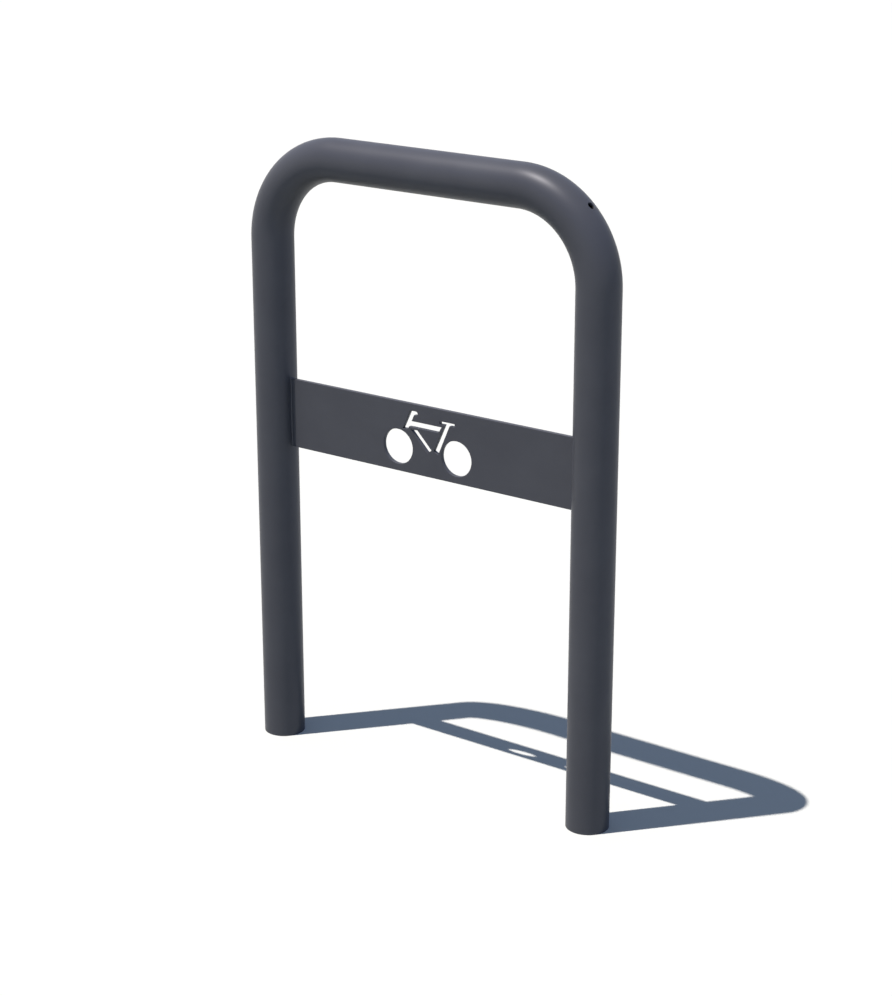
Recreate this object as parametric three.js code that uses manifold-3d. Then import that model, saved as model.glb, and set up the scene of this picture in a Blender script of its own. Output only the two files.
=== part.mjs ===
// Hoop bicycle rack for casting into the ground: a bent steel tube with a laser-cut cross
// plate welded between its legs and an anchor bar through the foot of each leg.
// Millimetres, +Z up, +X along the hoop. The origin is at ground level, midway between the legs.

import * as THREE from 'three';
import { mergeVertices, toCreasedNormals } from 'three/addons/utils/BufferGeometryUtils.js';
import Module from 'manifold-3d';

const wasm = await Module();
wasm.setup();

// Hoop
const hoopWidth = 600; // over the outer sides of the legs
const heightAboveGround = 900; // to the top of the tube
const rootDepth = 300; // of each leg below the ground
const tubeDiameter = 60;
const tubeWall = 3;
const bendRadius = 120; // of the tube's centreline
const ventDiameter = 10; // hole that lets zinc and air in and out, on the outside of one bend
const ventRise = Math.PI / 4; // of the vent hole above the horizontal, seen from the bend's centre

// Cross plate
const plateHeight = 100;
const plateThickness = 6;
const plateClearance = 450; // from the ground to the plate's lower edge
const symbolMargin = 10; // plain plate above and below the bicycle symbol

// Bicycle symbol, as shares of its height: across from its middle, and up from its foot
const wheelRadiusShare = 0.3125;
const wheelOffsetShare = 0.62;
const gripRadiusShare = 0.035;
const gripPlaceShares = [-0.235, 0.965];
const frontFrameShares = [
  [-0.355, 1],
  [-0.515, 0.66],
  [-0.405, 0.66],
  [-0.385, 0.71],
  [0.245, 0.71],
  [0.305, 0.815],
  [-0.33, 0.815],
  [-0.275, 0.93],
];
const downTubeShares = [
  [-0.345, 0.66],
  [0.005, 0.305],
  [0.095, 0.365],
  [-0.205, 0.67],
];
const seatFrameShares = [
  [0.14, 0.36],
  [0.235, 0.315],
  [0.475, 0.865],
  [0.58, 0.865],
  [0.58, 0.92],
  [0.27, 0.92],
  [0.27, 0.865],
  [0.37, 0.865],
];

// Anchor bars
const anchorDiameter = 12;
const anchorLength = 160;
const anchorHeight = 50; // of the bar's axis above the foot of the leg
const anchorHoleClearance = 0.5; // all round the bar

// Fillet welds
const plateWeldLeg = 1;
const anchorWeldLeg = 4;
const weldCrownShare = 0.8; // reach of the middle of the bead's face, of the weld's leg

// Fits
const seatGap = 0.3; // between two pieces that touch
const cutOverrun = 5; // of every cut past the surface that it opens

// Facets
const tubeSides = 40;
const bendSteps = 16;
const ventSides = 20;
const anchorSides = 24;
const wheelSides = 40;
const gripSteps = 6;
const weldFaceSteps = 3;
const weldCornerSteps = 3;
const plateEdgeSteps = 4;
const creaseAngle = Math.PI / 6;

// Places that follow from the sizes
const tubeRadius = tubeDiameter / 2;
const legX = hoopWidth / 2 - tubeRadius;
const bendX = legX - bendRadius;
const bendZ = heightAboveGround - tubeRadius - bendRadius;
const plateMiddle = plateClearance + plateHeight / 2;
const anchorZ = anchorHeight - rootDepth;
const sides = { left: -1, right: 1 };

// Powder-coated steel, anthracite grey and half gloss
function coatedSteel() {
  return new THREE.MeshStandardMaterial({ color: 0x474a51, roughness: 0.4, metalness: 0 });
}

// Closed solid of a geometry, ready for cutting
function solidFrom(geometry) {
  const bare = geometry.clone();
  bare.deleteAttribute('normal');
  bare.deleteAttribute('uv');
  const merged = mergeVertices(bare);
  const vertProperties = merged.getAttribute('position').array;
  const triVerts = new Uint32Array(merged.getIndex().array);
  return new wasm.Manifold(new wasm.Mesh({ numProp: 3, vertProperties, triVerts }));
}

function geometryFrom(solid) {
  const { vertProperties, triVerts } = solid.getMesh();
  const geometry = new THREE.BufferGeometry();
  geometry.setAttribute('position', new THREE.BufferAttribute(vertProperties, 3));
  geometry.setIndex(new THREE.BufferAttribute(triVerts, 1));
  return geometry;
}

// Round cutter between two points, where its axis starts and ends
function roundCutter(start, end, diameter, facets) {
  const along = end.clone().sub(start);
  const radius = diameter / 2;
  const geometry = new THREE.CylinderGeometry(radius, radius, along.length(), facets);
  const turn = new THREE.Quaternion();
  turn.setFromUnitVectors(new THREE.Vector3(0, 1, 0), along.clone().normalize());
  geometry.applyQuaternion(turn);
  const middle = start.clone().addScaledVector(along, 0.5);
  geometry.translate(middle.x, middle.y, middle.z);
  return solidFrom(geometry);
}

// Stations along the hoop's centreline, from the left foot over the top to the right foot.
// The heading is the angle from a bend's centre, so it falls from half a turn to zero.
function hoopStations() {
  const stations = [{ x: -legX, z: -rootDepth, heading: Math.PI }];
  for (const [bendMiddle, startHeading] of [[-bendX, Math.PI], [bendX, Math.PI / 2]]) {
    for (let step = 0; step <= bendSteps; step++) {
      const heading = startHeading - (Math.PI / 2) * (step / bendSteps);
      const x = bendMiddle + bendRadius * Math.cos(heading);
      const z = bendZ + bendRadius * Math.sin(heading);
      stations.push({ x, z, heading });
    }
  }
  stations.push({ x: legX, z: -rootDepth, heading: 0 });
  return stations;
}

// Centreline whose evenly spaced parameters fall on the stations, so that each straight run
// is one step long and the facets stay on the bends
class HoopLine extends THREE.Curve {
  constructor(stations) {
    super();
    this.stations = stations;
  }

  stationAt(share) {
    return this.stations[Math.round(share * (this.stations.length - 1))];
  }

  getUtoTmapping(share) {
    return share;
  }

  getPoint(share) {
    const { x, z } = this.stationAt(share);
    return new THREE.Vector3(x, 0, z);
  }

  getTangent(share) {
    const { heading } = this.stationAt(share);
    return new THREE.Vector3(Math.sin(heading), 0, -Math.cos(heading));
  }
}

// Bent tube, open at both feet, with the vent hole and the holes for the anchor bars
function hoopTube() {
  const section = new THREE.Shape().absarc(0, 0, tubeRadius, 0, 2 * Math.PI);
  section.holes.push(new THREE.Path().absarc(0, 0, tubeRadius - tubeWall, 0, 2 * Math.PI, true));
  const stations = hoopStations();
  const sweep = new THREE.ExtrudeGeometry(section, {
    extrudePath: new HoopLine(stations),
    steps: stations.length - 1,
    curveSegments: tubeSides / 2,
  });

  const bendCentre = new THREE.Vector3(bendX, 0, bendZ);
  const outward = new THREE.Vector3(Math.cos(ventRise), 0, Math.sin(ventRise));
  const ventStart = bendCentre.clone().addScaledVector(outward, bendRadius);
  const ventEnd = ventStart.clone().addScaledVector(outward, tubeRadius + cutOverrun);
  let tube = solidFrom(sweep).subtract(roundCutter(ventStart, ventEnd, ventDiameter, ventSides));

  const holeDiameter = anchorDiameter + 2 * anchorHoleClearance;
  const holeReach = tubeRadius + cutOverrun;
  for (const side of Object.values(sides)) {
    const front = new THREE.Vector3(side * legX, -holeReach, anchorZ);
    const back = new THREE.Vector3(side * legX, holeReach, anchorZ);
    tube = tube.subtract(roundCutter(front, back, holeDiameter, anchorSides));
  }
  return geometryFrom(tube);
}

// Closed outline of a cut-out, from shares of the symbol's height
function cutOutline(shares, symbolHeight) {
  return shares.map(([across, up]) => new THREE.Vector2(across, up).multiplyScalar(symbolHeight));
}

// Paths of the bicycle symbol, with the middle of its foot at zero
function symbolPaths(symbolHeight) {
  const wheelRadius = wheelRadiusShare * symbolHeight;
  const wheels = Object.values(sides).map((side) => {
    const wheelX = side * wheelOffsetShare * symbolHeight;
    return new THREE.Path().absarc(wheelX, wheelRadius, wheelRadius, 0, 2 * Math.PI, true);
  });

  // The handlebar's grip ends in half a circle
  const [gripX, gripZ] = gripPlaceShares.map((share) => share * symbolHeight);
  const gripRadius = gripRadiusShare * symbolHeight;
  const grip = new THREE.Path().absarc(gripX, gripZ, gripRadius, -Math.PI / 2, Math.PI / 2);
  const frontOutline = [...cutOutline(frontFrameShares, symbolHeight), ...grip.getPoints(gripSteps)];

  const outlines = [
    frontOutline,
    cutOutline(downTubeShares, symbolHeight),
    cutOutline(seatFrameShares, symbolHeight),
  ];
  return [...wheels, ...outlines.map((points) => new THREE.Path(points))];
}

// Flat bar between the legs, with the bicycle symbol cut right through it
function crossPlate() {
  const halfLength = legX - tubeRadius - seatGap;
  const halfHeight = plateHeight / 2;
  const outline = new THREE.Shape([
    new THREE.Vector2(-halfLength, -halfHeight),
    new THREE.Vector2(halfLength, -halfHeight),
    new THREE.Vector2(halfLength, halfHeight),
    new THREE.Vector2(-halfLength, halfHeight),
  ]);
  const symbolHeight = plateHeight - 2 * symbolMargin;
  for (const path of symbolPaths(symbolHeight)) {
    const points = path.getPoints(wheelSides / 2);
    const placed = points.map(({ x, y }) => new THREE.Vector2(x, y - symbolHeight / 2));
    outline.holes.push(new THREE.Path(placed));
  }
  const geometry = new THREE.ExtrudeGeometry(outline, { depth: plateThickness, bevelEnabled: false });
  geometry.translate(0, 0, -plateThickness / 2);
  return geometry.rotateX(Math.PI / 2);
}

function anchorBar() {
  const radius = anchorDiameter / 2;
  return new THREE.CylinderGeometry(radius, radius, anchorLength, anchorSides);
}

// Distance from a leg's axis to the back of a bead, where it lies on the round wall
function wallDistance(across) {
  return Math.sqrt((tubeRadius + seatGap) ** 2 - across ** 2);
}

// Section of a fillet weld at one point of the outline of the piece that it holds: the root
// first, then the slightly crowned face from the leg's wall to that piece. The leg's axis is
// Z and the piece leaves it along +X.
function beadSection({ place, outward }, weldLeg) {
  const root = place.clone().addScaledVector(outward, seatGap);
  const section = [new THREE.Vector3(wallDistance(root.x), root.x, root.y)];
  for (let step = 0; step <= weldFaceSteps; step++) {
    const angle = (Math.PI / 2) * (step / weldFaceSteps);
    const reach = weldLeg * (1 - (1 - weldCrownShare) * Math.sin(2 * angle));
    const foot = root.clone().addScaledVector(outward, reach * Math.cos(angle));
    const rise = reach * Math.sin(angle);
    section.push(new THREE.Vector3(wallDistance(foot.x) + rise, foot.x, foot.y));
  }
  return section;
}

// Closed ring through sections of equal count, the last joined to the first
function ringThrough(sections) {
  const corners = sections[0].length;
  const index = [];
  for (let row = 0; row < sections.length; row++) {
    const nextRow = (row + 1) % sections.length;
    for (let corner = 0; corner < corners; corner++) {
      const nextCorner = (corner + 1) % corners;
      const a = row * corners + corner;
      const b = nextRow * corners + corner;
      const c = nextRow * corners + nextCorner;
      const d = row * corners + nextCorner;
      index.push(a, b, c, a, c, d);
    }
  }
  const geometry = new THREE.BufferGeometry().setFromPoints(sections.flat());
  geometry.setIndex(index);
  return geometry;
}

// Outline of the plate's end, anticlockwise, with its outward directions turned in steps at
// the corners and points along its short edges, where the leg's wall curves away
function plateEndOutline() {
  const halfThickness = plateThickness / 2;
  const halfHeight = plateHeight / 2;
  const outline = [];
  const corners = [[1, 1], [-1, 1], [-1, -1], [1, -1]];
  corners.forEach(([acrossSide, upSide], corner) => {
    const place = new THREE.Vector2(acrossSide * halfThickness, upSide * halfHeight);
    for (let step = 0; step <= weldCornerSteps; step++) {
      const angle = (Math.PI / 2) * (corner + step / weldCornerSteps);
      outline.push({ place, outward: new THREE.Vector2(Math.cos(angle), Math.sin(angle)) });
    }
    const leadsToShortEdge = acrossSide === upSide;
    for (let step = 1; leadsToShortEdge && step < plateEdgeSteps; step++) {
      const across = acrossSide * halfThickness * (1 - (2 * step) / plateEdgeSteps);
      const edgePlace = new THREE.Vector2(across, upSide * halfHeight);
      outline.push({ place: edgePlace, outward: new THREE.Vector2(0, upSide) });
    }
  });
  return outline;
}

function anchorOutline() {
  return Array.from({ length: anchorSides }, (_, side) => {
    const angle = (2 * Math.PI * side) / anchorSides;
    const outward = new THREE.Vector2(Math.cos(angle), Math.sin(angle));
    return { place: outward.clone().multiplyScalar(anchorDiameter / 2), outward };
  });
}

function weldBead(outline, weldLeg) {
  return ringThrough(outline.map((station) => beadSection(station, weldLeg)));
}

const rack = new THREE.Group();

function addPiece(name, geometry, position, turn = 0) {
  const piece = new THREE.Mesh(toCreasedNormals(geometry, creaseAngle), coatedSteel());
  piece.name = name;
  piece.position.copy(position);
  piece.rotation.z = turn;
  rack.add(piece);
}

addPiece('hoop_tube', hoopTube(), new THREE.Vector3());
addPiece('cross_plate', crossPlate(), new THREE.Vector3(0, 0, plateMiddle));

for (const [sideName, side] of Object.entries(sides)) {
  const legAtPlate = new THREE.Vector3(side * legX, 0, plateMiddle);
  const legAtAnchor = new THREE.Vector3(side * legX, 0, anchorZ);
  const plateWeld = weldBead(plateEndOutline(), plateWeldLeg);
  addPiece(`plate_weld_${sideName}`, plateWeld, legAtPlate, side < 0 ? 0 : Math.PI);
  addPiece(`anchor_bar_${sideName}`, anchorBar(), legAtAnchor);
  for (const [faceName, turn] of [['front', -Math.PI / 2], ['back', Math.PI / 2]]) {
    const anchorWeld = weldBead(anchorOutline(), anchorWeldLeg);
    addPiece(`anchor_weld_${sideName}_${faceName}`, anchorWeld, legAtAnchor, turn);
  }
}

export default rack;
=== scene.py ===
import math

import bmesh
import bpy
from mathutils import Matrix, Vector


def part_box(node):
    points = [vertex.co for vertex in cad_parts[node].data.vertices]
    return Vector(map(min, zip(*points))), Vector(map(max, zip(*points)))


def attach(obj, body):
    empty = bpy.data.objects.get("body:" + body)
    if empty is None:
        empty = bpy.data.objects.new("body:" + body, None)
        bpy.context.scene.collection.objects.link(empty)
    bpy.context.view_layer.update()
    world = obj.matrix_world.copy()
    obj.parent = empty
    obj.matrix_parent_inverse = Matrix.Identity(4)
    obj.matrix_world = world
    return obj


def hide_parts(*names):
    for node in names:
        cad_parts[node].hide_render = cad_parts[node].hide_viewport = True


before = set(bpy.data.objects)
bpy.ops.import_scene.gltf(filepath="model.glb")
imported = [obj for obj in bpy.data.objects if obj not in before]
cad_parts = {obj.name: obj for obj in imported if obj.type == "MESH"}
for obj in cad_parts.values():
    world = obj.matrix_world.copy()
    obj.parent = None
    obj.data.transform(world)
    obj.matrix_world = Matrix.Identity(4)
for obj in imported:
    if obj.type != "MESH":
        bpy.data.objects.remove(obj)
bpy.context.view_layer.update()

# Sizes from the frame
hoop_low, hoop_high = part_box("hoop_tube")
plate_low, plate_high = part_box("cross_plate")
bar_low, bar_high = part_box("anchor_bar_left")
TUBE_RADIUS = hoop_high.y
LEG_X = hoop_high.x - TUBE_RADIUS
FOOT_Z = hoop_low.z
PLATE_MIDDLE = (plate_low.z + plate_high.z) / 2
PLATE_HEIGHT = plate_high.z - plate_low.z
PLATE_THICKNESS = plate_high.y - plate_low.y
BAR_RADIUS = (bar_high.z - bar_low.z) / 2
BAR_HALF_LENGTH = bar_high.y
BAR_Z = (bar_low.z + bar_high.z) / 2

# Sizes that the frame's boxes don't give
TUBE_WALL = 0.003
BEND_RADIUS = 0.120
VENT_RADIUS = 0.005
VENT_RISE = math.radians(45)
BAR_HOLE_RADIUS = 0.0065
SYMBOL_MARGIN = 0.010
PLATE_WELD_LEG = 0.001
BAR_WELD_LEG = 0.004
WELD_CROWN_SHARE = 0.8
WELD_SINK = 0.0003
EDGE_ROUNDING = 0.0005
EDGE_SUPPORT = 0.0006

BEND_X = LEG_X - BEND_RADIUS
BEND_Z = hoop_high.z - TUBE_RADIUS - BEND_RADIUS
SIDES = {"left": -1, "right": 1}

# Scales of the welds: shares of the bead's leg, and how a scale's crescent is drawn
RIPPLE_PITCH_SHARE = 0.5
FINEST_RIPPLE = 0.001
RIPPLE_HEIGHT_SHARE = 0.03
RIPPLE_CURVE = 0.9
RIPPLE_FULLNESS = 0.7
RIPPLE_MIDDLE = 0.5
WANDER_SHARE = 0.02
WANDER_RATES = (310, 97)
WANDER_START = 1

# Mesh steps. A hole takes out a square block of quads, and rows within the block's clearance,
# in half blocks, give way to its own even rows.
COLUMNS = 96
BEND_ROWS = 48
VENT_BLOCK = 6
BAR_BLOCK = 10
BLOCK_CLEARANCE = 1.5
REACH_TRIES = 10
EDGE_STEPS = 3
WHEEL_STEPS = 96
GRIP_STEPS = 12
WELD_FACE_STEPS = 8
STEPS_PER_RIPPLE = 5
SHARP_ANGLE = math.radians(40)

# Bicycle symbol, as shares of its height: across from its middle, and up from its foot
WHEEL_RADIUS_SHARE = 0.3125
WHEEL_OFFSET_SHARE = 0.62
GRIP_RADIUS_SHARE = 0.035
GRIP_PLACE_SHARES = (-0.235, 0.965)
FRONT_FRAME_SHARES = (
    (-0.355, 1),
    (-0.515, 0.66),
    (-0.405, 0.66),
    (-0.385, 0.71),
    (0.245, 0.71),
    (0.305, 0.815),
    (-0.33, 0.815),
    (-0.275, 0.93),
)
DOWN_TUBE_SHARES = ((-0.345, 0.66), (0.005, 0.305), (0.095, 0.365), (-0.205, 0.67))
SEAT_FRAME_SHARES = (
    (0.14, 0.36),
    (0.235, 0.315),
    (0.475, 0.865),
    (0.58, 0.865),
    (0.58, 0.92),
    (0.27, 0.92),
    (0.27, 0.865),
    (0.37, 0.865),
)

# Powder coat. Its colours are linear, each with its place in the cloudy noise.
COAT_TINTS = ((0.3, (0.1035, 0.109, 0.131)), (0.7, (0.1145, 0.121, 0.144)))
METAL_SHARE = 0.2
COAT_IOR = 1.5
SPECULAR_LEVEL = 0.1
ROUGHNESS_RANGE = (0.4, 0.44)
CLOUD = {"Scale": 14.0, "Detail": 3.0, "Roughness": 0.5}
PEEL = {"Scale": 520.0, "Detail": 1.0, "Roughness": 0.4}
PEEL_BUMP = {"Strength": 0.35, "Distance": 0.00004}
GRAIN = {"Scale": 2600.0, "Detail": 2.0, "Roughness": 0.6}
GRAIN_BUMP = {"Strength": 0.3, "Distance": 0.00001}

# Camera
CAMERA_PLACE = (1.75642, -2.34805, 1.41007)
CAMERA_AZIMUTH = math.radians(36.322)
CAMERA_DROP = math.radians(18.679)
FOCAL_PIXELS = 2248.4
IMAGE_HEIGHT_PIXELS = 996
SENSOR = 36.0
CLIP_END = 200.0

# Light. The floor's colour and the seen colours are for rays from the camera, off gloss and
# through glass. The other colours are for the rays that light the rack. The haze thins out
# between two sines of elevation. A sun of strength pi, straight down, lights white ground to 1.
SUN_TRAVEL = (0.2404, 0.2852, -1.0)
SUN_STRENGTH = 1.1 * math.pi
SUN_COLOUR = (1.0, 0.91, 0.8)
SUN_ANGLE = math.radians(0.53)
SKY_COLOUR = (0.104, 0.125, 0.149)
SEEN_SKY_COLOUR = (0.6, 0.7, 1.0)
HORIZON_COLOUR = (0.25, 0.4, 0.8)
SEEN_HORIZON_COLOUR = (1.0, 1.0, 1.0)
HORIZON_TOP = 0.2
SKY_BASE = 0.35
SKY_STRENGTH = 1.0
GROUND_HALF = 40.0
FLOOR_COLOUR = (0.9, 0.95, 0.99)
FLOOR_BOUNCE = (0.12, 0.12, 0.05)


def new_piece(name, mesh, material):
    """Turns a bmesh into a smooth-shaded object with sharp corners kept, and frees the bmesh."""
    bmesh.ops.recalc_face_normals(mesh, faces=mesh.faces)
    for face in mesh.faces:
        face.smooth = True
    for edge in mesh.edges:
        edge.smooth = not (edge.is_manifold and edge.calc_face_angle() > SHARP_ANGLE)
    data = bpy.data.meshes.new(name)
    mesh.to_mesh(data)
    mesh.free()
    piece = bpy.data.objects.new(name, data)
    bpy.context.scene.collection.objects.link(piece)
    data.materials.append(material)
    return piece


def finish_piece(piece, node):
    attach(piece, "root")
    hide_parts(node)


def bridge(mesh, ring, next_ring):
    """Closed band of quads between two rings of equal count."""
    for here in range(len(ring)):
        there = (here + 1) % len(ring)
        mesh.faces.new((ring[here], ring[there], next_ring[there], next_ring[here]))


def rounded_edge():
    """Steps over a rounded edge, as (distance in from the side, distance down from the face)."""
    steps = []
    for step in range(EDGE_STEPS + 1):
        angle = math.pi / 2 * step / EDGE_STEPS
        steps.append((EDGE_ROUNDING * (1 - math.sin(angle)), EDGE_ROUNDING * (1 - math.cos(angle))))
    return steps


# The hoop
def with_block(values, middle, half, count):
    """The values outside a block, and count + 1 even ones across it, in the first value's order."""
    block = [middle - half + 2 * half * step / count for step in range(count + 1)]
    kept = [value for value in values if abs(value - middle) > BLOCK_CLEARANCE * half]
    return sorted(kept + block, reverse=values[0] > values[-1])


class Row:
    """Place on the hoop's centreline, with the direction away from the hoop's middle."""

    def __init__(self, x, z, heading):
        self.centre = Vector((x, 0, z))
        self.outward = Vector((math.cos(heading), 0, math.sin(heading)))

    def point(self, radius, column):
        angle = 2 * math.pi * column / COLUMNS
        across = Vector((0, math.sin(angle), 0))
        return self.centre + radius * (math.cos(angle) * self.outward + across)


def hoop_rows():
    """Rows from the left foot over the top to the right foot, closer together at the holes."""
    column_width = 2 * math.pi * TUBE_RADIUS / COLUMNS
    bar_half = column_width * BAR_BLOCK / 2
    rounded_foot = FOOT_Z + EDGE_ROUNDING
    leg_heights = [rounded_foot, rounded_foot + EDGE_SUPPORT, BEND_Z]
    leg_heights = with_block(leg_heights, BAR_Z, bar_half, BAR_BLOCK)[:-1]
    rows = [Row(-LEG_X, z, math.pi) for z in leg_heights]
    for side, start in ((-1, math.pi), (1, math.pi / 2)):
        headings = [start - math.pi / 2 * step / BEND_ROWS for step in range(BEND_ROWS + 1)]
        if side > 0:
            vent_half = column_width * VENT_BLOCK / 2 / (BEND_RADIUS + TUBE_RADIUS)
            headings = with_block(headings, VENT_RISE, vent_half, VENT_BLOCK)
        for heading in headings:
            x = side * BEND_X + BEND_RADIUS * math.cos(heading)
            rows.append(Row(x, BEND_Z + BEND_RADIUS * math.sin(heading), heading))
    rows += [Row(LEG_X, z, 0) for z in reversed(leg_heights)]
    return rows


class Hole:
    """Round hole through the tube's wall, along axis from the tube's centreline at place."""

    def __init__(self, place, axis, radius, column, block, bend_centre=None):
        self.place = place
        self.axis = axis
        self.radius = radius
        self.column = column
        self.block = block
        self.bend_centre = bend_centre

    def distance(self, point):
        """Distance of a point from the tube's centreline."""
        if self.bend_centre is None:
            return math.hypot(point.x - self.place.x, point.y)
        from_bend = point - self.bend_centre
        return math.hypot(math.hypot(from_bend.x, from_bend.z) - BEND_RADIUS, point.y)

    def point(self, direction, spread, depth):
        """Point at a distance from the hole's axis, and at a depth below the tube's surface."""
        start = self.place + direction * spread
        reach = TUBE_RADIUS - depth
        for _ in range(REACH_TRIES):
            reach += TUBE_RADIUS - depth - self.distance(start + self.axis * reach)
        return start + self.axis * reach


def hoop_holes():
    bend_centre = Vector((BEND_X, 0, BEND_Z))
    outward = Vector((math.cos(VENT_RISE), 0, math.sin(VENT_RISE)))
    vent_place = bend_centre + outward * BEND_RADIUS
    holes = [Hole(vent_place, outward, VENT_RADIUS, 0, VENT_BLOCK, bend_centre)]
    for side in SIDES.values():
        place = Vector((side * LEG_X, 0, BAR_Z))
        for quarter, facing in ((1, 1), (3, -1)):
            axis = Vector((0, facing, 0))
            column = quarter * COLUMNS // 4
            holes.append(Hole(place, axis, BAR_HOLE_RADIUS, column, BAR_BLOCK))
    return holes


def block_corner(hole, rows):
    """First row and first column of the block of quads that a hole takes out."""
    middle = min(range(len(rows)), key=lambda row: (rows[row].centre - hole.place).length)
    return middle - hole.block // 2, hole.column - hole.block // 2


def open_hole(mesh, hole, skins, rows):
    """Lines a hole with rings, from the outer skin over its rounded rims to the inner skin."""
    row, column = block_corner(hole, rows)
    span = range(hole.block)
    steps = [(row, column + step) for step in span]
    steps += [(row + step, column + hole.block) for step in span]
    steps += [(row + hole.block, column + hole.block - step) for step in span]
    steps += [(row + hole.block - step, column) for step in span]
    outer, inner = [[skin[r][c % COLUMNS] for r, c in steps] for skin in skins]

    directions = []
    for vertex in outer:
        offset = vertex.co - hole.place
        directions.append((offset - hole.axis * offset.dot(hole.axis)).normalized())
    lip = [(EDGE_ROUNDING + EDGE_SUPPORT, 0)] + rounded_edge()
    profile = lip + [(spread, TUBE_WALL - depth) for spread, depth in reversed(lip)]
    rings = [outer]
    for spread, depth in profile:
        points = [hole.point(direction, hole.radius + spread, depth) for direction in directions]
        rings.append([mesh.verts.new(point) for point in points])
    rings.append(inner)
    for ring, next_ring in zip(rings, rings[1:]):
        bridge(mesh, ring, next_ring)


def round_foot(mesh, row, outer, inner):
    """Rounded end of the tube's wall, below the last row of both skins."""
    down = rounded_edge()[::-1][1:]
    profile = [(TUBE_RADIUS - inset, fall) for inset, fall in down]
    profile += [(TUBE_RADIUS - TUBE_WALL + inset, fall) for inset, fall in reversed(down)]
    rings = [outer]
    for radius, fall in profile:
        drop = Vector((0, 0, row.centre.z - FOOT_Z - fall))
        rings.append([mesh.verts.new(row.point(radius, c) - drop) for c in range(COLUMNS)])
    rings.append(inner)
    for ring, next_ring in zip(rings, rings[1:]):
        bridge(mesh, ring, next_ring)


def hoop_tube(material):
    rows = hoop_rows()
    holes = hoop_holes()
    taken = set()
    for hole in holes:
        row, column = block_corner(hole, rows)
        for r in range(row, row + hole.block):
            taken.update((r, c % COLUMNS) for c in range(column, column + hole.block))

    mesh = bmesh.new()
    skins = []
    for radius in (TUBE_RADIUS, TUBE_RADIUS - TUBE_WALL):
        skin = [[mesh.verts.new(row.point(radius, c)) for c in range(COLUMNS)] for row in rows]
        for r in range(len(rows) - 1):
            here, above = skin[r], skin[r + 1]
            for c in range(COLUMNS):
                if (r, c) not in taken:
                    there = (c + 1) % COLUMNS
                    mesh.faces.new((here[c], here[there], above[there], above[c]))
        skins.append(skin)
    for hole in holes:
        open_hole(mesh, hole, skins, rows)
    for end in (0, -1):
        round_foot(mesh, rows[end], skins[0][end], skins[1][end])
    loose = [vertex for vertex in mesh.verts if not vertex.link_faces]
    bmesh.ops.delete(mesh, geom=loose, context="VERTS")
    piece = new_piece("hoop", mesh, material)
    finish_piece(piece, "hoop_tube")


# The cross plate
def arc(centre, radius, start, end, steps):
    """Points of an arc without its last one, which closes or goes on."""
    angles = [start + (end - start) * step / steps for step in range(steps)]
    return [Vector((centre[0] + radius * math.cos(angle), centre[1] + radius * math.sin(angle)))
            for angle in angles]


def symbol_outlines():
    """Cut-outs of the bicycle symbol, each anticlockwise, from the middle of the symbol's foot."""
    height = PLATE_HEIGHT - 2 * SYMBOL_MARGIN
    radius = WHEEL_RADIUS_SHARE * height
    wheels = []
    for side in SIDES.values():
        centre = (side * WHEEL_OFFSET_SHARE * height, radius)
        wheels.append(arc(centre, radius, 0, 2 * math.pi, WHEEL_STEPS))
    grip_centre = [share * height for share in GRIP_PLACE_SHARES]
    grip_radius = GRIP_RADIUS_SHARE * height
    grip = arc(grip_centre, grip_radius, -math.pi / 2, math.pi / 2, GRIP_STEPS)
    grip.append(Vector((grip_centre[0], grip_centre[1] + grip_radius)))
    front, down, seat = [[Vector((across * height, up * height)) for across, up in shares]
                         for shares in (FRONT_FRAME_SHARES, DOWN_TUBE_SHARES, SEAT_FRAME_SHARES)]
    return wheels + [front + grip, down, seat]


def grown(outline, distance):
    """Outline moved out by a distance, or in by a negative one, with its corners mitred."""
    moved = []
    for index, point in enumerate(outline):
        before = (point - outline[index - 1]).normalized()
        after = (outline[(index + 1) % len(outline)] - point).normalized()
        normals = [Vector((edge.y, -edge.x)) for edge in (before, after)]
        mitre = (normals[0] + normals[1]) / (1 + normals[0].dot(normals[1]))
        moved.append(point + mitre * distance)
    return moved


def cross_plate(material):
    half_thickness = PLATE_THICKNESS / 2
    half_height = PLATE_HEIGHT / 2
    symbol_foot = SYMBOL_MARGIN - half_height
    left, right = plate_low.x, plate_high.x
    corners = ((left, -1), (right, -1), (right, 1), (left, 1))
    border = [Vector((x, up * half_height)) for x, up in corners]
    cuts = [[point + Vector((0, symbol_foot)) for point in cut] for cut in symbol_outlines()]

    face_steps = [(EDGE_ROUNDING + EDGE_SUPPORT, 0)] + rounded_edge()
    steps = [(inset, half_thickness - depth) for inset, depth in face_steps]
    steps += [(inset, -height) for inset, height in reversed(steps)]
    mesh = bmesh.new()
    faces = {1: [], -1: []}
    for outline, into in [(border, -1)] + [(cut, 1) for cut in cuts]:
        rings = []
        for inset, height in steps:
            edge = grown(outline, into * inset)
            rings.append([mesh.verts.new((p.x, -height, PLATE_MIDDLE + p.y)) for p in edge])
        for ring, next_ring in zip(rings, rings[1:]):
            bridge(mesh, ring, next_ring)
        for ring, facing in ((rings[0], 1), (rings[-1], -1)):
            for here, there in zip(ring, ring[1:] + ring[:1]):
                faces[facing].append(mesh.edges.get((here, there)))
    for edges in faces.values():
        bmesh.ops.triangle_fill(mesh, use_beauty=True, use_dissolve=False, edges=edges)
    piece = new_piece("plate", mesh, material)
    finish_piece(piece, "cross_plate")


# The welds
def ripple_pitch(leg_length):
    return max(RIPPLE_PITCH_SHARE * leg_length, FINEST_RIPPLE)


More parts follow.
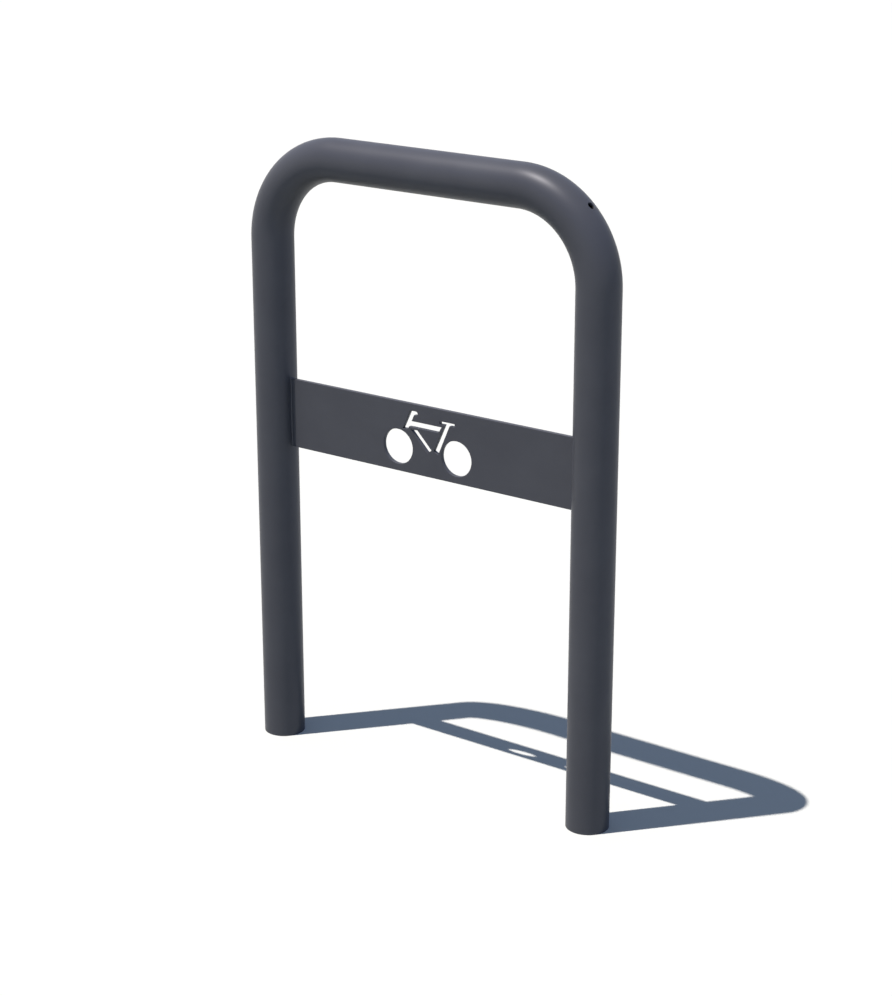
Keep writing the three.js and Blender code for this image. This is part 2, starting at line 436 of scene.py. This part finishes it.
def ripple(along, lean, leg_length):
    """Height of a weld's scales at a distance along the bead; each scale is a crescent."""
    phase = along / ripple_pitch(leg_length) + RIPPLE_CURVE * lean * lean
    wave = math.sin(math.pi * (phase - math.floor(phase)))
    scale = wave ** RIPPLE_FULLNESS - RIPPLE_MIDDLE
    fast, slow = WANDER_RATES
    wander = math.sin(along * fast) * math.sin(along * slow + WANDER_START)
    return leg_length * (RIPPLE_HEIGHT_SHARE * scale + WANDER_SHARE * wander)


def wall_distance(across):
    """Distance out to the leg's wall, less the weld's sink, at a distance across the leg."""
    return math.sqrt((TUBE_RADIUS - WELD_SINK) ** 2 - across ** 2)


def weld_bead(name, node, outline, leg_length, place, turn, material):
    """Bead round a piece that leaves the leg's wall along +X, before it is turned and placed.
    The outline is a list of (point, outward direction, distance along the bead)."""
    mesh = bmesh.new()
    rings = []
    for point, outward, along in outline:
        root = point - outward * WELD_SINK
        ring = [mesh.verts.new((wall_distance(root.x), root.x, root.y))]
        for step in range(WELD_FACE_STEPS + 1):
            angle = math.pi / 2 * step / WELD_FACE_STEPS
            swell = math.sin(2 * angle)
            reach = leg_length * (1 - (1 - WELD_CROWN_SHARE) * swell)
            lean = 2 * step / WELD_FACE_STEPS - 1
            reach += WELD_SINK + ripple(along, lean, leg_length) * swell
            foot = root + outward * reach * math.cos(angle)
            rise = reach * math.sin(angle)
            ring.append(mesh.verts.new((wall_distance(foot.x) + rise, foot.x, foot.y)))
        rings.append(ring)
    for ring, next_ring in zip(rings, rings[1:] + rings[:1]):
        bridge(mesh, ring, next_ring)
    for vertex in mesh.verts:
        x, y, z = vertex.co
        turned = (x * math.cos(turn) - y * math.sin(turn), x * math.sin(turn) + y * math.cos(turn))
        vertex.co = Vector((place.x + turned[0], place.y + turned[1], place.z + z))
    piece = new_piece(name, mesh, material)
    finish_piece(piece, node)


def plate_end_outline():
    """Stations round the plate's end, an even number to each scale of the weld."""
    half_thickness = PLATE_THICKNESS / 2
    half_height = PLATE_HEIGHT / 2
    corners = [Vector((across * half_thickness, up * half_height))
               for across, up in ((1, -1), (1, 1), (-1, 1), (-1, -1))]
    turn_length = PLATE_WELD_LEG * math.pi / 4
    step_length = ripple_pitch(PLATE_WELD_LEG) / STEPS_PER_RIPPLE
    outline = []
    along = 0
    for side, start in enumerate(corners):
        end = corners[(side + 1) % len(corners)]
        outward = Vector((math.cos(side * math.pi / 2), math.sin(side * math.pi / 2)))
        length = (end - start).length
        count = round(length / step_length)
        for step in range(count):
            outline.append((start.lerp(end, step / count), outward, along + length * step / count))
        along += length
        count = round(turn_length / step_length)
        for step in range(count):
            angle = (side + step / count) * math.pi / 2
            direction = Vector((math.cos(angle), math.sin(angle)))
            outline.append((end, direction, along + turn_length * step / count))
        along += turn_length
    return outline


def bar_outline():
    pitch = ripple_pitch(BAR_WELD_LEG)
    count = round(2 * math.pi * (BAR_RADIUS + BAR_WELD_LEG / 2) / pitch) * STEPS_PER_RIPPLE
    outline = []
    for step in range(count):
        angle = 2 * math.pi * step / count
        direction = Vector((math.cos(angle), math.sin(angle)))
        outline.append((direction * BAR_RADIUS, direction, pitch * step / STEPS_PER_RIPPLE))
    return outline


# The anchor bars
def anchor_bar(side_name, side, material):
    mesh = bmesh.new()
    columns = COLUMNS // 2
    supported = EDGE_ROUNDING + EDGE_SUPPORT
    profile = [(supported, 0)] + rounded_edge() + [(0, supported)]
    half = [(BAR_RADIUS - inset, BAR_HALF_LENGTH - depth) for inset, depth in profile]
    whole = half + [(radius, -y) for radius, y in reversed(half)]
    rings = []
    for radius, y in whole:
        ring = []
        for column in range(columns):
            angle = 2 * math.pi * column / columns
            x = side * LEG_X + radius * math.cos(angle)
            ring.append(mesh.verts.new((x, y, BAR_Z + radius * math.sin(angle))))
        rings.append(ring)
    for ring, next_ring in zip(rings, rings[1:]):
        bridge(mesh, ring, next_ring)
    for ring in (rings[0], rings[-1]):
        mesh.faces.new(ring)
    piece = new_piece(f"bar_{side_name}", mesh, material)
    finish_piece(piece, f"anchor_bar_{side_name}")


# Materials
class Nodes:
    """Short calls for a material's or the world's node tree."""

    def __init__(self, tree):
        self.tree = tree
        tree.nodes.clear()

    def add(self, kind, **values):
        node = self.tree.nodes.new(kind)
        for name, value in values.items():
            if name in node.inputs:
                node.inputs[name].default_value = value
            else:
                setattr(node, name, value)
        return node

    def link(self, start, end):
        self.tree.links.new(start, end)


def powder_coat(name):
    """Anthracite powder coat, half gloss, with a little metal flake and an orange-peel skin."""
    material = bpy.data.materials.new(name)
    material.use_nodes = True
    nodes = Nodes(material.node_tree)
    output = nodes.add("ShaderNodeOutputMaterial")
    shader = nodes.add("ShaderNodeBsdfPrincipled", Metallic=METAL_SHARE, IOR=COAT_IOR)
    shader.inputs["Specular IOR Level"].default_value = SPECULAR_LEVEL
    place = nodes.add("ShaderNodeTexCoord")

    cloud = nodes.add("ShaderNodeTexNoise", **CLOUD)
    tint = nodes.add("ShaderNodeValToRGB")
    for element, (position, colour) in zip(tint.color_ramp.elements, COAT_TINTS):
        element.position = position
        element.color = (*colour, 1)
    nodes.link(place.outputs["Object"], cloud.inputs["Vector"])
    nodes.link(cloud.outputs["Fac"], tint.inputs["Fac"])
    nodes.link(tint.outputs["Color"], shader.inputs["Base Color"])

    gloss = nodes.add("ShaderNodeMapRange")
    gloss.inputs["To Min"].default_value, gloss.inputs["To Max"].default_value = ROUGHNESS_RANGE
    nodes.link(cloud.outputs["Fac"], gloss.inputs["Value"])
    nodes.link(gloss.outputs["Result"], shader.inputs["Roughness"])

    peel = nodes.add("ShaderNodeTexNoise", **PEEL)
    grain = nodes.add("ShaderNodeTexNoise", **GRAIN)
    peel_bump = nodes.add("ShaderNodeBump", **PEEL_BUMP)
    grain_bump = nodes.add("ShaderNodeBump", **GRAIN_BUMP)
    nodes.link(place.outputs["Object"], peel.inputs["Vector"])
    nodes.link(place.outputs["Object"], grain.inputs["Vector"])
    nodes.link(grain.outputs["Fac"], grain_bump.inputs["Height"])
    nodes.link(peel.outputs["Fac"], peel_bump.inputs["Height"])
    nodes.link(grain_bump.outputs["Normal"], peel_bump.inputs["Normal"])
    nodes.link(peel_bump.outputs["Normal"], shader.inputs["Normal"])
    nodes.link(shader.outputs["BSDF"], output.inputs["Surface"])
    return material


# Ground, light and camera
def seen_in_view_or_gloss(nodes):
    """One for rays from the camera, off gloss or through glass, and zero for the rest."""
    path = nodes.add("ShaderNodeLightPath")
    gloss = nodes.add("ShaderNodeMath", operation="ADD")
    seen = nodes.add("ShaderNodeMath", operation="ADD", use_clamp=True)
    nodes.link(path.outputs["Is Glossy Ray"], gloss.inputs[0])
    nodes.link(path.outputs["Is Transmission Ray"], gloss.inputs[1])
    nodes.link(path.outputs["Is Camera Ray"], seen.inputs[0])
    nodes.link(gloss.outputs["Value"], seen.inputs[1])
    return seen.outputs["Value"]


def ground():
    """Ground that is white as it is seen, also in gloss, and casts a little warm light back."""
    mesh = bmesh.new()
    corners = ((-1, -1), (1, -1), (1, 1), (-1, 1))
    mesh.faces.new([mesh.verts.new((x * GROUND_HALF, y * GROUND_HALF, 0)) for x, y in corners])
    material = bpy.data.materials.new("ground")
    material.use_nodes = True
    nodes = Nodes(material.node_tree)
    output = nodes.add("ShaderNodeOutputMaterial")
    white = nodes.add("ShaderNodeBsdfDiffuse", Color=(*FLOOR_COLOUR, 1))
    dim = nodes.add("ShaderNodeBsdfDiffuse", Color=(*FLOOR_BOUNCE, 1))
    mix = nodes.add("ShaderNodeMixShader")
    nodes.link(seen_in_view_or_gloss(nodes), mix.inputs[0])
    nodes.link(dim.outputs["BSDF"], mix.inputs[1])
    nodes.link(white.outputs["BSDF"], mix.inputs[2])
    nodes.link(mix.outputs["Shader"], output.inputs["Surface"])
    floor = new_piece("ground", mesh, material)


def sky():
    """Pale sky over a low white haze, as they are seen. Both cast a dim, bluish light."""
    world = bpy.data.worlds.new("sky")
    bpy.context.scene.world = world
    world.use_nodes = True
    nodes = Nodes(world.node_tree)
    output = nodes.add("ShaderNodeOutputWorld")
    background = nodes.add("ShaderNodeBackground", Strength=SKY_STRENGTH)
    place = nodes.add("ShaderNodeTexCoord")
    split = nodes.add("ShaderNodeSeparateXYZ")
    rise = nodes.add("ShaderNodeMapRange", interpolation_type="SMOOTHSTEP")
    rise.inputs["From Min"].default_value = HORIZON_TOP
    rise.inputs["From Max"].default_value = SKY_BASE
    nodes.link(place.outputs["Generated"], split.inputs["Vector"])
    nodes.link(split.outputs["Z"], rise.inputs["Value"])

    haze = nodes.add("ShaderNodeMix", data_type="RGBA")
    nodes.link(rise.outputs["Result"], haze.inputs["Factor"])
    seen = seen_in_view_or_gloss(nodes)
    for end, cast, shown in (("A", HORIZON_COLOUR, SEEN_HORIZON_COLOUR),
                             ("B", SKY_COLOUR, SEEN_SKY_COLOUR)):
        colour = nodes.add("ShaderNodeMix", data_type="RGBA")
        colour.inputs["A"].default_value = (*cast, 1)
        colour.inputs["B"].default_value = (*shown, 1)
        nodes.link(seen, colour.inputs["Factor"])
        nodes.link(colour.outputs["Result"], haze.inputs[end])
    nodes.link(haze.outputs["Result"], background.inputs["Color"])
    nodes.link(background.outputs["Background"], output.inputs["Surface"])


def sun():
    lamp = bpy.data.lights.new("sun", "SUN")
    lamp.energy = SUN_STRENGTH
    lamp.color = SUN_COLOUR
    lamp.angle = SUN_ANGLE
    holder = bpy.data.objects.new("sun", lamp)
    holder.rotation_mode = "QUATERNION"
    holder.rotation_quaternion = Vector(SUN_TRAVEL).to_track_quat("-Z", "Y")
    bpy.context.scene.collection.objects.link(holder)


def camera():
    data = bpy.data.cameras.new("camera")
    data.sensor_width = SENSOR
    data.lens = FOCAL_PIXELS * SENSOR / IMAGE_HEIGHT_PIXELS
    data.clip_end = CLIP_END
    holder = bpy.data.objects.new("camera", data)
    holder.location = CAMERA_PLACE
    level = math.cos(CAMERA_DROP)
    forward = Vector((-math.sin(CAMERA_AZIMUTH) * level, math.cos(CAMERA_AZIMUTH) * level,
                      -math.sin(CAMERA_DROP)))
    holder.rotation_mode = "QUATERNION"
    holder.rotation_quaternion = forward.to_track_quat("-Z", "Y")
    bpy.context.scene.collection.objects.link(holder)
    bpy.context.scene.camera = holder


coat = powder_coat("powder_coat")
hoop_tube(coat)
cross_plate(coat)
for side_name, side in SIDES.items():
    anchor_bar(side_name, side, coat)
    leg_at_plate = Vector((side * LEG_X, 0, PLATE_MIDDLE))
    leg_at_bar = Vector((side * LEG_X, 0, BAR_Z))
    weld_bead(f"plate_bead_{side_name}", f"plate_weld_{side_name}", plate_end_outline(),
              PLATE_WELD_LEG, leg_at_plate, 0 if side < 0 else math.pi, coat)
    for face_name, turn in (("front", -math.pi / 2), ("back", math.pi / 2)):
        weld_bead(f"bar_bead_{side_name}_{face_name}", f"anchor_weld_{side_name}_{face_name}",
                  bar_outline(), BAR_WELD_LEG, leg_at_bar, turn, coat)

ground()
sky()
sun()
camera()
bpy.context.scene.view_settings.view_transform = "Standard"
